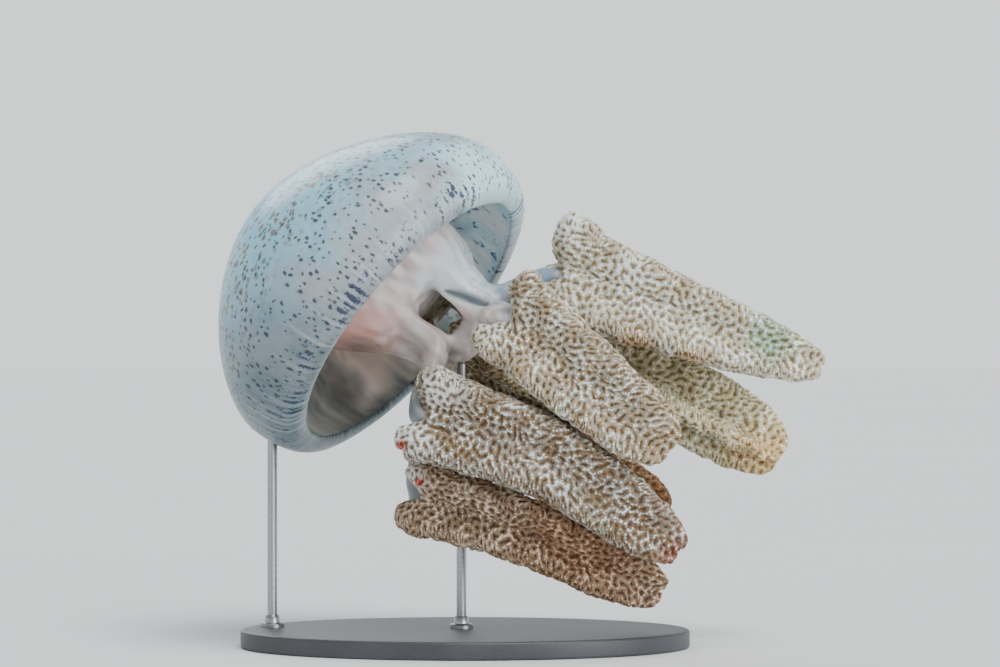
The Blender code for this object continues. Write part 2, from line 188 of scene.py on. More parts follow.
def full_turn(count):
    return np.linspace(0, 2 * math.pi, count, endpoint=False)


def level_ring(turns, wide, deep, height, x=0.0, y=0.0):
    """A flat ring at one height, with these half widths, round (x, y)."""
    height = np.broadcast_to(height, turns.shape)
    return np.stack([x + wide * np.cos(turns), y + deep * np.sin(turns), height], 1)


def curve(points, t):
    """Points on the smooth curve through these points, at places 0 to 1."""
    p = np.asarray(points, float)
    ends = np.vstack([2 * p[0] - p[1], p, 2 * p[-1] - p[-2]])
    spans = len(p) - 1
    span = np.clip((t * spans).astype(int), 0, spans - 1)
    u = (t * spans - span)[:, None]
    a, b, c, d = (ends[span + k] for k in range(4))
    square, cube = 2 * a - 5 * b + 4 * c - d, 3 * b - a - 3 * c + d
    return 0.5 * (2 * b + (c - a) * u + square * u**2 + cube * u**3)


def waves(points, size, seed, squeeze=(1, 1, 1)):
    """Smooth noise of about -1 to 1 with bumps of this size. squeeze scales the points' axes first."""
    rng = np.random.default_rng(seed)
    directions = unit(rng.normal(size=(WAVE_COUNT, 3))) * (math.pi / size)
    directions *= rng.uniform(0.6, 1.25, (WAVE_COUNT, 1))
    phases = rng.uniform(0, 2 * math.pi, WAVE_COUNT)
    points = points * squeeze
    total = sum(np.cos(points @ k + phase) for k, phase in zip(directions, phases))
    return total / math.sqrt(WAVE_COUNT)


def tube(rings):
    """(points, faces) of a closed skin through these rings, with a point in the middle of each end."""
    count, around, _ = rings.shape
    points = np.vstack([rings.reshape(-1, 3), rings[0].mean(0), rings[-1].mean(0)])
    here = np.arange(count * around).reshape(count, around)
    after = np.roll(here, -1, axis=1)
    sides = np.stack([here[:-1], after[:-1], after[1:], here[1:]], -1).reshape(-1, 4).tolist()
    start, end = count * around, count * around + 1
    sides += [(b, a, start) for a, b in zip(here[0].tolist(), after[0].tolist())]
    sides += [(a, b, end) for a, b in zip(here[-1].tolist(), after[-1].tolist())]
    return points, sides


def joined(shapes):
    """One (points, faces) from several."""
    points, faces, start = [], [], 0
    for some, sides in shapes:
        points.append(some)
        faces += [tuple(start + k for k in side) for side in sides]
        start += len(some)
    return np.vstack(points), faces


def linked(name, data):
    made = bpy.data.objects.new(name, data)
    bpy.context.scene.collection.objects.link(made)
    return made


def mesh_of(name, points, faces):
    mesh = bpy.data.meshes.new(name)
    mesh.from_pydata(points.tolist(), [], faces)
    mesh.update()
    return mesh


def remeshed(name, shapes, voxel, passes):
    """(mesh, net, points) of the union of closed shapes: one even skin of small quads, then eased."""
    rough = linked(name + "_rough", mesh_of(name + "_rough", *joined(shapes)))
    modifier = rough.modifiers.new("union", "REMESH")
    modifier.mode = "VOXEL"
    modifier.voxel_size = voxel
    found = rough.evaluated_get(bpy.context.evaluated_depsgraph_get())
    mesh = bpy.data.meshes.new_from_object(found)
    mesh.name = name
    bpy.data.objects.remove(rough, do_unlink=True)
    points = read(mesh.vertices, "co", np.float32, 3).astype(float)
    net = net_of(mesh, points)
    points = eased(net, points, passes)
    move_to(mesh, points)
    return mesh, net, points


def read(items, name, kind, width=1):
    found = np.empty(len(items) * width, kind)
    items.foreach_get(name, found)
    return found.reshape(-1, width) if width > 1 else found


def move_to(mesh, points):
    mesh.vertices.foreach_set("co", points.astype(np.float32).ravel())
    mesh.update()


def normals(mesh):
    return read(mesh.vertex_normals, "vector", np.float32, 3).astype(float)


def net_of(mesh, points, pull=None):
    """The mesh as a net to spread values over. Near points count for more, and so do those along pull,
    a tangent at each point whose length (0 to 1) says by how much."""
    ends = read(mesh.edges, "vertices", np.int32, 2)
    a, b = np.concatenate([ends, ends[:, ::-1]]).T
    way = points[b] - points[a]
    length2 = np.maximum((way**2).sum(1), (0.3 * MM) ** 2)
    weight = 1 / length2
    if pull is not None:
        size2 = np.maximum((pull**2).sum(1), 1e-12)[a]
        share = ((way * pull[a]).sum(1) ** 2) / (length2 * size2)
        weight *= np.maximum(1 + 1.5 * np.sqrt(size2) * (2 * share - 1), 0.08)
    total = np.bincount(a, weight, len(points))
    return SimpleNamespace(a=a, b=b, weight=weight, total=total, count=len(points))


def spread(net, values, rate, passes):
    """values after diffusing over the net: rate is in square metres a pass."""
    mix = np.minimum(rate * net.total, 0.85) / net.total
    for _ in range(passes):
        around = np.bincount(net.a, net.weight * values[net.b], net.count)
        values = values + mix * (around - net.total * values)
    return values


def eased(net, points, passes, mix=0.5):
    """points after each has moved towards the middle of its neighbours."""
    number = np.bincount(net.a, minlength=net.count)
    for _ in range(passes):
        middle = np.stack([np.bincount(net.a, x[net.b], net.count) for x in points.T], 1)
        points = points + mix * (middle / number[:, None] - points)
    return points


def unwrap(mesh):
    """A flat map of the smooth shape, before its folds."""
    mesh.uv_layers.new(name="OFBake")
    holder = linked(mesh.name + "_unwrap", mesh)
    bpy.context.view_layer.objects.active = holder
    holder.select_set(True)
    bpy.ops.object.mode_set(mode="EDIT")
    bpy.ops.mesh.select_all(action="SELECT")
    bpy.ops.uv.smart_project(angle_limit=math.radians(66), island_margin=0.002)
    bpy.ops.object.mode_set(mode="OBJECT")
    bpy.data.objects.remove(holder, do_unlink=True)


def store(mesh, name, values):
    kind, field = ("FLOAT_VECTOR", "vector") if values.ndim == 2 else ("FLOAT", "value")
    layer = mesh.attributes.new(name, kind, "POINT")
    layer.data.foreach_set(field, values.astype(np.float32).ravel())


# ---- materials


class Tree:
    """A new material or world with its nodes, and one call for each node."""

    def __init__(self, name, kind="materials", shader="Principled BSDF"):
        self.data = getattr(bpy.data, kind).new(name)
        self.data.use_nodes = True
        self.nodes, self.links = self.data.node_tree.nodes, self.data.node_tree.links
        self.shader = self.nodes[shader]

    def add(self, kind, inputs=None, **settings):
        made = self.nodes.new("ShaderNode" + kind)
        for name, value in settings.items():
            setattr(made, name, value)
        for name, value in (inputs or {}).items():
            self.put(made.inputs[name], value)
        return made

    def put(self, socket, value):
        if isinstance(value, bpy.types.NodeSocket):
            self.links.new(value, socket)
        else:
            socket.default_value = value

    def set(self, **values):
        for name, value in values.items():
            self.put(self.shader.inputs[name.replace("_", " ")], value)

    def attribute(self, name, output="Fac"):
        return self.add("Attribute", attribute_name=name).outputs[output]

    def math(self, operation, a, b):
        return self.add("Math", {0: a, 1: b}, operation=operation).outputs[0]

    def times(self, a, b):
        return self.math("MULTIPLY", a, b)

    def plus(self, a, b):
        return self.math("ADD", a, b)

    def vector(self, operation, a, b, output=0):
        return self.add("VectorMath", {0: a, 1: b}, operation=operation).outputs[output]

    def scaled(self, where, by):
        """Coordinates times this on each axis. A small value draws the pattern out along its axis."""
        return self.vector("MULTIPLY", where, by)

    def range(self, value, low, high, to_low=0.0, to_high=1.0):
        inputs = {"Value": value, "From Min": low, "From Max": high, "To Min": to_low, "To Max": to_high}
        return self.add("MapRange", inputs, interpolation_type="SMOOTHSTEP").outputs["Result"]

    def ramp(self, value, low, high, a, b):
        """a where the value is below low and b where it is above high."""
        return self.mix(self.range(value, low, high), a, b)

    def mix(self, share, a, b, blend="MIX"):
        """a where share is 0 and b where it is 1. A colour is a socket or its screen values, 0 to 255."""
        made = self.add("Mix", data_type="RGBA", blend_type=blend)
        self.put(made.inputs[0], share)
        for socket, colour in ((6, a), (7, b)):
            self.put(made.inputs[socket], rgb(*colour) if isinstance(colour, tuple) else colour)
        return made.outputs[2]

    def patch(self, colour, tint, middle, radius, share, uneven, blend="MIX"):
        """The colour with a tint near a place, given as x and z in millimetres, and none of it further
        away than the radius. uneven makes the patch ragged."""
        middle = (middle[0] * MM, 0.0, middle[1] * MM)
        flat = self.scaled(self.here(), (1.0, 0.0, 1.0))
        gap = self.vector("DISTANCE", flat, middle, "Value")
        ragged = self.plus(gap, self.range(uneven, 0.3, 0.7, -0.2 * radius * MM, 0.2 * radius * MM))
        near = self.range(ragged, radius * MM, 0.25 * radius * MM)
        return self.mix(self.times(near, share), colour, tint, blend)

    def noise(self, where, size, detail=2.0, rough=0.5):
        inputs = {"Vector": where, "Scale": 1 / size, "Detail": detail, "Roughness": rough}
        return self.add("TexNoise", inputs).outputs["Fac"]

    def moved(self, where, size, distance):
        """Coordinates shifted to and fro by up to this distance, in bumps of this size."""
        bend = self.add("TexNoise", {"Vector": where, "Scale": 1 / size, "Detail": 1.0}).outputs["Color"]
        centred = self.vector("SUBTRACT", bend, (0.5, 0.5, 0.5))
        return self.vector("ADD", where, self.scaled(centred, (distance,) * 3))

    def bump(self, height, distance, strength):
        inputs = {"Height": height, "Distance": distance, "Strength": strength}
        return self.add("Bump", inputs).outputs["Normal"]

    def here(self):
        return self.add("TexCoord").outputs["Object"]


def rgb(red, green, blue):
    """A colour given in screen values, 0 to 255, as the shader takes it."""
    values = np.array((red, green, blue)) / 255
    linear = np.where(values <= 0.04045, values / 12.92, ((values + 0.055) / 1.055) ** 2.4)
    return (*linear.tolist(), 1.0)


# ---- the bell's own frame


def bell_axes():
    up = unit(BELL_UP)
    side = unit(BELL_SIDE - BELL_SIDE @ up * up)
    return np.stack([side, np.cross(up, side), up])


AXES = bell_axes()


def to_world(local):
    return local @ AXES + BELL_CENTRE


def to_bell(world):
    return (world - BELL_CENTRE) @ AXES.T


def lean(height):
    return -CROWN_LEAN * (height / (WIDEST_AT + CROWN_RISE)) ** 2


def crown(angles, radius, rise):
    """(radius, height) along a crown: angle 0 is its top and a quarter turn its widest ring."""
    rounded = np.minimum(np.sqrt(angles**2 + 0.10**2), math.pi / 2)
    heights = np.cos(rounded) ** CROWN_POWER * rise + WIDEST_AT
    return np.stack([radius * np.sin(angles) ** CROWN_POWER, heights], 1)


def turn_in(height):
    fall = (WIDEST_AT - height) / (WIDEST_AT + RIM_DROP)
    return RIM_RADIUS + (BELL_RADIUS - RIM_RADIUS) * np.sqrt(np.maximum(0, 1 - fall**2))


def roof_height(radius):
    sine = np.minimum(1, radius / (BELL_RADIUS - SIDE_THICKNESS)) ** (1 / CROWN_POWER)
    return WIDEST_AT + (CROWN_RISE - CROWN_THICKNESS) * np.sqrt(1 - sine**2) ** CROWN_POWER


def stalk_shift(height):
    top = WIDEST_AT + 25 * MM
    down = np.clip((top - height) / (top - STOMACH_FLOOR), 0, 1)
    return STALK_SHIFT * down * down * (3 - 2 * down)


# ---- the bell


def bell_profile():
    """The bell's section as rows of (radius, height), in three runs: from the crown's top to the widest
    ring, down the wall and round the lip, and up the inside to the roof."""
    outside = crown(np.linspace(0.02, math.pi / 2, 46), BELL_RADIUS, CROWN_RISE)
    heights = np.linspace(WIDEST_AT - 1.0 * MM, -2.6 * MM, WALL_ROWS)
    wall = np.stack([turn_in(heights), heights], 1)
    lip = np.column_stack([LIP_RADII, LIP_HEIGHTS]) * MM
    angles = np.linspace(math.pi / 2, 0.05, 28)
    inside = crown(angles, BELL_RADIUS - SIDE_THICKNESS, CROWN_RISE - CROWN_THICKNESS)
    return outside, np.vstack([wall, lip]), inside


def ring_grid(profile, count):
    """Points of a section turned round the bell's axis, in the bell's frame: rows by count by 3."""
    turns = np.arange(count) * 2 * math.pi / count
    radius, height = profile.T
    x = radius[:, None] * np.cos(turns) + lean(height)[:, None]
    y = radius[:, None] * np.sin(turns)
    return np.stack([x, y, np.broadcast_to(height[:, None], x.shape)], -1), turns


def strip_faces(here):
    """Faces between the rows of a grid of point numbers, whose rows run all the way round."""
    after = np.roll(here, -1, axis=1)
    return np.stack([here[:-1], here[1:], after[1:], after[:-1]], -1).reshape(-1, 4).tolist()


def seam_faces(coarse, fine, flip):
    """Faces between a ring and one with twice as many points."""
    a, b, c, d = coarse, np.roll(coarse, -1), fine[::2], fine[1::2]
    faces = np.array([(a, c, d), (a, d, b), (b, d, np.roll(c, -1))]).transpose(2, 0, 1).reshape(-1, 3)
    return (faces[:, ::-1] if flip else faces).tolist()


def lower_side(turns, width):
    """1 on the bell's lower side, where its edge is drawn in, and 0 away from it."""
    return hill((turns - LOWER_SIDE + math.pi) % (2 * math.pi) - math.pi, width)


def bell_shape(rng):
    """(points, faces, inner) of the bell in the bell's frame. inner is 0 outside and 1 inside."""
    outside, margin, inside = bell_profile()
    coarse, fine = 5 * LAPPETS // 2, 5 * LAPPETS
    top, turns = ring_grid(outside, coarse)
    band, fine_turns = ring_grid(margin, fine)
    roof, _ = ring_grid(inside, coarse)

    # Furrows between the lappets: deepest at the margin and fading up the wall.
    heights = margin[:, 1]
    rows = np.arange(len(margin))
    wall = (rows < WALL_ROWS)[:, None]
    phase = fine_turns * LAPPETS / (2 * math.pi)
    cell = np.floor(phase + 0.5).astype(int) % LAPPETS
    groove = hill(phase - np.floor(phase) - 0.5, FURROW_WIDTH)
    # They are long and deep on the lower side, where the bell is drawn in, and shallow elsewhere.
    lower = lower_side(fine_turns, 0.62)
    length = rng.uniform(0.5, 1.4, LAPPETS)[cell] * (1 + 1.6 * lower)
    gather = cell % 2 * lower
    fade = np.where(wall, np.exp(-np.maximum(heights[:, None], 0) / (8 * MM * length)), 1.0)
    outward = band.copy()
    outward[..., 2] = 0
    outward[..., 0] -= lean(heights)[:, None]
    outward = unit(outward)
    depth = np.where(wall, 0.06 + 0.2 * lower + 1.2 * gather, 0.08 + 0.2 * lower) * MM
    band -= outward * (groove * fade * depth)[..., None]
    # The lappets' tips: rounded, and notched between one and the next.
    reach = np.clip((RIM_RADIUS + 1.0 * MM - margin[:, 0]) / (8 * MM), 0, 1)[:, None] * ~wall
    tips = rng.uniform(-0.5, 0.5, LAPPETS)[cell]
    band += outward * (reach * (groove * 0.7 + tips * 0.4) * MM)[..., None]

    # Soft ripples run up the inside of the wall.
    ripple = sum(np.cos(n * turns + rng.uniform(0, 6)) for n in RIPPLES) / len(RIPPLES)
    fade = step(roof[:, 0, 2], 66 * MM, 30 * MM) * step(np.arange(len(roof)), -1, 4)
    middle = np.stack([lean(roof[..., 2]), 0 * roof[..., 0], roof[..., 2] - 10 * MM], -1)
    roof += unit(middle - roof) * (fade[:, None] * (1 + ripple[None]) * RIPPLE_HEIGHT)[..., None]

    poles = [(lean(height), 0, height) for height in (outside[0, 1], inside[-1, 1])]
    grids = [grid.reshape(-1, 3) for grid in (top, band, roof)]
    points = np.vstack([*grids, poles])
    end = len(points) - 2
    numbers = np.split(np.arange(end), np.cumsum([len(grid) for grid in grids[:2]]))
    top, band, roof = (some.reshape(-1, count) for some, count in zip(numbers, (coarse, fine, coarse)))
    faces = strip_faces(top) + strip_faces(band) + strip_faces(roof)
    faces += seam_faces(top[-1], band[0], False) + seam_faces(roof[0], band[-1], True)
    faces += [(end, *pair) for pair in zip(top[0], np.roll(top[0], -1))]
    faces += [(end + 1, *pair) for pair in zip(np.roll(roof[-1], -1), roof[-1])]

    turning_in = np.repeat(step(rows, WALL_ROWS + 4, WALL_ROWS + 11), fine)
    inner = np.concatenate([np.zeros(top.size), turning_in, np.ones(roof.size), (0.0, 1.0)])
    return points, faces, inner


def down_the_bell(local):
    """How far down the bell's surface a point is, 0 at the crown and 1 at the margin."""
    height = local[:, 2]
    radius = np.hypot(local[:, 0] - lean(height), local[:, 1])
    angle = np.arctan2(radius / BELL_RADIUS, (height - WIDEST_AT) / CROWN_RISE)
    return np.clip(angle / 1.95, 0, 1.1)


def lappets_at(local, shift):
    """Each point's turn round the bell, its lappet and how far off the lappet's middle it is."""
    turns = np.arctan2(local[:, 1], local[:, 0] - lean(local[:, 2]))
    phase = turns * LAPPETS / (2 * math.pi) + shift
    return turns, np.floor(phase).astype(int) % LAPPETS, phase - np.floor(phase) - 0.5


def pale_pleats(local, inner):
    """Thin pale lines between the lappets, on the outside just above the margin."""
    turns, cell, off = lappets_at(local, 0)
    strength = np.random.default_rng(17).uniform(0, 1, LAPPETS)[cell]
    lower = lower_side(turns, 0.5)
    strength = np.maximum(strength**4, 0.8 * lower * strength * (cell % 2))
    fade = step(local[:, 2], (18 + 12 * lower) * MM, 2 * MM) * strength
    return hill(off, 0.11 + 0.14 * lower) * fade * (1 - inner)


def margin_blots(local, inner, rng):
    """Dark elongated blots on the lappets, one to each, uneven in strength, length and place."""
    _, cell, off = lappets_at(local, 0.5)
    # Neighbouring lappets are alike, so that dark and pale stretches follow each other.
    strength = np.convolve(np.tile(rng.uniform(0, 1, LAPPETS), 3), (0.2, 0.6, 0.2), "same")
    strength = strength[LAPPETS : 2 * LAPPETS]
    stretch = 0.5 + 0.5 * np.sin(np.arange(LAPPETS) * 2 * math.pi * 7 / LAPPETS + 0.6)
    strength = np.clip(strength * 1.4 + stretch * 0.75 - 0.55, 0, 1)
    middle = rng.uniform(-4.0, 5.0, LAPPETS) * MM
    length = rng.uniform(2.0, 6.0, LAPPETS) * MM
    width = rng.uniform(0.16, 0.40, LAPPETS)
    shift = rng.uniform(-0.25, 0.25, LAPPETS)
    along = (local[:, 2] - middle[cell]) / length[cell]
    across = (off - shift[cell]) / width[cell]
    near = local[:, 2] < 26 * MM
    return np.where(near, strength[cell] * np.exp(-(along**2) - across**2), 0) * (1 - inner)


# ---- the stalk


def stomach_rings():
    around = full_turn(96)
    rows = []
    # A flat top that ends inside the bell's roof.
    for part, rise in ((0.3, 2.5), (0.8, 2.5), (1.22, 1.5)):
        radius = STOMACH_RADIUS * part
        off_axis = np.hypot(radius * np.cos(around) - lean(60 * MM), radius * np.sin(around))
        rows.append(level_ring(around, radius, radius, roof_height(off_axis) + rise * MM))
    edge = roof_height(STOMACH_RADIUS) - 3 * MM
    for down in np.linspace(0.0, 1.0, 60):
        height = edge + (STOMACH_FLOOR - 3 * MM - edge) * down
        radius = STOMACH_RADIUS + (STOMACH_NECK - STOMACH_RADIUS) * down**2.2
        flare = 11 * MM * math.exp(-down / 0.07)
        radii = radius * (1 - 0.07 * down * np.cos(4 * around)) + flare
        rows.append(level_ring(around, radii, radii, height, stalk_shift(height)))
    return np.array(rows)


def level_way(degrees):
    """The way from the bell's axis at this turn round it."""
    turn = math.radians(degrees)
    return np.array((math.cos(turn), math.sin(turn), 0))


def pillar_rings(number):
    around = full_turn(48)
    outward = level_way(45 + 90 * number)
    across = np.cross((0, 0, 1), outward)
    rows = []
    for down in np.linspace(-0.22, 1.22, 40):
        inside = min(1.0, max(0.0, down))
        height = STOMACH_FLOOR - (STOMACH_FLOOR - DISC_TOP) * down
        waist = 1 - 0.13 * math.sin(math.pi * inside) - 0.22 * inside
        middle = outward * (PILLAR_RING - PILLAR_IN * inside) + (STALK_SHIFT, 0, height)
        ring = across * (PILLAR_WIDTH / 2 * waist * np.cos(around))[:, None]
        ring = ring + outward * (PILLAR_DEPTH / 2 * waist * np.sin(around))[:, None]
        rows.append(ring + middle)
    return np.array(rows)


def disc_rings():
    rows = []
    for angle in np.linspace(0.06, math.pi - 0.06, 24):
        radius = 0.62 * DISC_RADIUS * abs(math.sin(angle)) ** 0.45
        height = DISC_THICKNESS / 2 * math.copysign(abs(math.cos(angle)) ** 0.8, math.cos(angle))
        rows.append(level_ring(full_turn(64), radius, radius, height) + DISC_MIDDLE)
    return np.array(rows)


def arm_line(arm):
    return np.array(LINES[arm]) * MM


def arm_frames(line, t):
    """(middle, along, front, above) of an arm's section at these places on its line."""
    near = 0.01
    along = unit(curve(line, np.minimum(1, t + near)) - curve(line, np.maximum(0, t - near)))
    front = np.array((0.0, -1.0, 0.0))
    front = unit(front - (along @ front)[:, None] * along)
    return curve(line, t), along, front, np.cross(front, along)


def stem_radius(place):
    return CORE_RADIUS + (CORE_TIP_RADIUS - CORE_RADIUS) * place


def band_rings(number, arm):
    """The flesh of one arm: from the pillar that carries it, over the disc's edge, to the root of its
    wings and a little way into them."""
    line = arm_line(arm)
    outward = level_way(BAND_EDGES[number])
    corner = level_way(BAND_PILLARS[number]) * (PILLAR_RING - 1 * MM)
    lean_in = 0.7 * corner + 0.3 * outward * PILLAR_RING
    start = to_world(corner * 0.92 + (STALK_SHIFT, 0, STOMACH_FLOOR + 9 * MM))
    middle_way = to_world(lean_in + (STALK_SHIFT, 0, STOMACH_FLOOR - 9 * MM))
    edge = to_world(DISC_MIDDLE + outward * DISC_RADIUS * 0.84 + (0, 0, 3 * MM))
    middle, along, front, above = (x[0] for x in arm_frames(line, np.array([0.0])))
    turn = math.radians(WINGS[arm][2][0])
    inward = math.cos(turn) * front + math.sin(turn) * above
    entry = middle + inward * 0.55 * STEM_ENTRY - along * 0.5 * STEM_ENTRY
    later = arm_frames(line, np.array([0.06, 0.16]))[0]
    bend = np.array([start, middle_way, edge, entry, middle + along * 3 * MM, *later])
    t = np.linspace(0, 1, 110)
    centre = curve(bend, t)
    for _ in range(60):
        centre[1:-1] = 0.5 * centre[1:-1] + 0.25 * (centre[:-2] + centre[2:])
    way = unit(np.gradient(centre, axis=0))
    first = unit(np.cross(way, AXES[2]))
    second = np.cross(way, first)
    broad = np.interp(t, BAND_STATIONS, BAND_WIDTHS)
    deep = np.interp(t, BAND_STATIONS, BAND_DEPTHS)
    around = full_turn(40)[:, None]
    ring = first[:, None] * np.cos(around) * broad[:, None, None]
    ring = ring + second[:, None] * np.sin(around) * deep[:, None, None]
    return centre[:, None] + ring


def slit_of(points, normal):
    """1 in the narrow slit between the first two arms' flesh, on the near side, and 0 away from it."""
    start, end = np.array(SLIT) * MM
    way = end - start
    off = points[:, (0, 2)] - start
    part = np.clip(off @ way / (way @ way), 0, 1)
    gap = np.linalg.norm(off - part[:, None] * way, axis=1)
    half = (0.4 + 1.9 * np.sqrt(np.maximum(0, 4 * part * (1 - part)))) * MM
    near_side = step(-normal[:, 1], 0.0, 0.4) * step(-points[:, 1], 5 * MM, 15 * MM)
    return step(gap / half, 1.6, 0.5) * near_side


def stalk_shape():
    """(points, faces, slit, window) of the stalk, the pillars, the disc and the arms' flesh as one."""
    shapes = [tube(to_world(stomach_rings())), tube(to_world(disc_rings()))]
    shapes += [tube(to_world(pillar_rings(number))) for number in range(4)]
    shapes += [tube(band_rings(number, arm)) for number, arm in enumerate(LINES)]
    mesh, net, points = remeshed("stalk", shapes, JELLY_VOXEL, 16)
    # Soft stretched folds that run down the stalk.
    local = to_bell(points)
    folds = waves(local, 4.0 * MM, 21, ALONG_BELL)
    folds = folds + waves(local, 9 * MM, 22, (1, 1, 0.15))
    lift = FOLD_HEIGHT * np.clip(folds, -1.8, 1.8) - 0.2 * MM
    points = points + normals(mesh) * lift[:, None]
    # The far flesh that shows between the front pillars.
    away = np.hypot(points[:, 0] - WINDOW[0] * MM, points[:, 2] - WINDOW[1] * MM)
    window = step(-normals(mesh)[:, 1], 0.0, 0.4) * step(points[:, 1], -8 * MM, 0)
    window = window * step(away, 26 * MM, 16 * MM)
    slit = slit_of(points, normals(mesh))
    points = points - normals(mesh) * (SLIT_DEPTH * slit)[:, None]
    points = eased(net, points, 3)
    faces = [tuple(polygon.vertices) for polygon in mesh.polygons]
    bpy.data.meshes.remove(mesh)
    return points, faces, slit, window


def build_jelly():
    """The jelly skin: the bell's own grid and the stalk's smooth union in one mesh."""
    rng = np.random.default_rng(11)
    bell, bell_faces, inner = bell_shape(rng)
    stalk, stalk_faces, slit, window = stalk_shape()
    points, faces = joined([(to_world(bell), bell_faces), (stalk, stalk_faces)])
    mesh = mesh_of("jelly", points, faces)
    mesh.shade_smooth()

    local = to_bell(points)
    down = down_the_bell(local)
    height = local[:, 2]
    flat = np.stack([local[:, 0] - lean(height), local[:, 1]], 1)
    radius = np.maximum(np.hypot(*flat.T), 0.01 * MM)[:, None]
    off_disc = np.hypot(local[:, 0] - STALK_SHIFT, local[:, 1])
    not_bell, not_stalk = np.zeros(len(bell)), np.zeros(len(stalk))
    on_stalk = np.repeat((0.0, 1.0), (len(bell), len(stalk)))
    bare = step(off_disc, 27 * MM, 46 * MM) * step(-height, 12 * MM, 30 * MM) * on_stalk
    marks = {
        "down": down,
        "height": height / (30 * MM),
        "local": local,
        # A flat map of the bell, seen from the crown, that squeezes the spots sideways towards the margin
        "cells": np.column_stack([flat / radius * (down * 155 * MM)[:, None], 0 * down]),
        "inner": np.concatenate([inner, not_stalk]),
        "blots": np.concatenate([margin_blots(bell, inner, rng), not_stalk]),
        "pleats": np.concatenate([pale_pleats(bell, inner), not_stalk]),
        "stalk": on_stalk,
        "bare": bare,
        "slit": np.concatenate([not_bell, slit]),
        "window": np.concatenate([not_bell, window]),
        "folds": np.concatenate([not_bell, waves(to_bell(stalk), 3.0 * MM, 23, (1, 1, 0.14))]),
    }
    for name, values in marks.items():
        store(mesh, name, values)
    mesh.materials.append(jelly_material())
    piece = linked("jelly_skin", mesh)
    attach(piece, "root")
    nodes = ["bell", "bell_margin", "stomach", "arm_disc"] + [f"pillar_{k}" for k in range(1, 5)]
    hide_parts(*nodes, *[f"arm_{arm}_stem" for arm in LINES])


